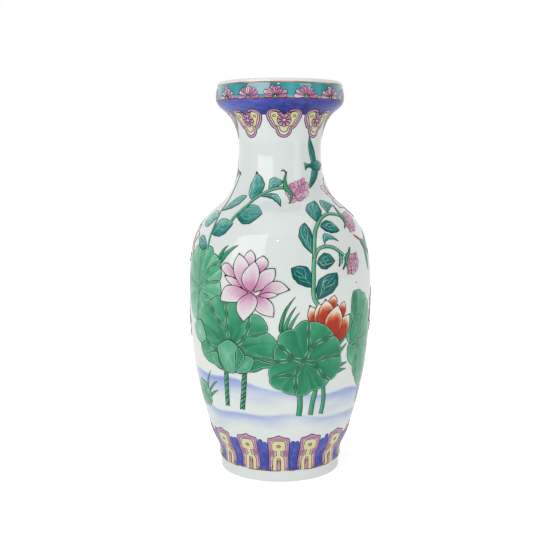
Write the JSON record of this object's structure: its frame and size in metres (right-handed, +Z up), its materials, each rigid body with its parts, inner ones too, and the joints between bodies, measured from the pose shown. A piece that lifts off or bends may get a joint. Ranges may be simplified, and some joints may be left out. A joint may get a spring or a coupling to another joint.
{
  "type": "porcelain vase",
  "caption": "Baluster-shaped glazed porcelain vase with a narrow neck, flared collar and upright mouth rim, on a low foot ring, with painted enamel bands.",
  "frame": {"origin": "centre of the foot ring's resting face, on the vase's axis of revolution", "axes": "+Z up along the axis of revolution, from the foot to the mouth; -Y faces the viewer, so the painted lotus scene's front is on -Y; +X is to the viewer's right"},
  "size_m": [0.144, 0.144, 0.305],
  "materials": {
    "porcelain_glaze": "clear gloss glaze over white porcelain, faint cool green-grey tint",
    "bisque": "bare fired porcelain, matt, on the resting edge of the foot ring",
    "teal_enamel": "glossy overglaze enamel",
    "blue_enamel": "glossy overglaze enamel",
    "line_red": "iron-red overglaze line, satin",
    "green_enamel": "glossy overglaze enamel",
    "pink_enamel": "rose overglaze enamel shaded to white",
    "orange_enamel": "coral-red overglaze enamel shaded to white",
    "yellow_enamel": "pale yellow overglaze enamel",
    "line_dark": "thin black-brown brush outline"
  },
  "bodies": {
    "root": {"foot_ring": "porcelain_glaze", "floor_disc": "porcelain_glaze", "lower_body": "porcelain_glaze", "upper_body": "porcelain_glaze", "neck": "porcelain_glaze", "mouth_collar": "porcelain_glaze", "mouth_rim": "porcelain_glaze", "foot_line": "line_red", "foot_band_enamel": "blue_enamel", "collar_band_enamel": "blue_enamel", "rim_lower_line": "line_red", "rim_band_enamel": "teal_enamel", "rim_upper_line": "line_red"}
  },
  "joints": []
}
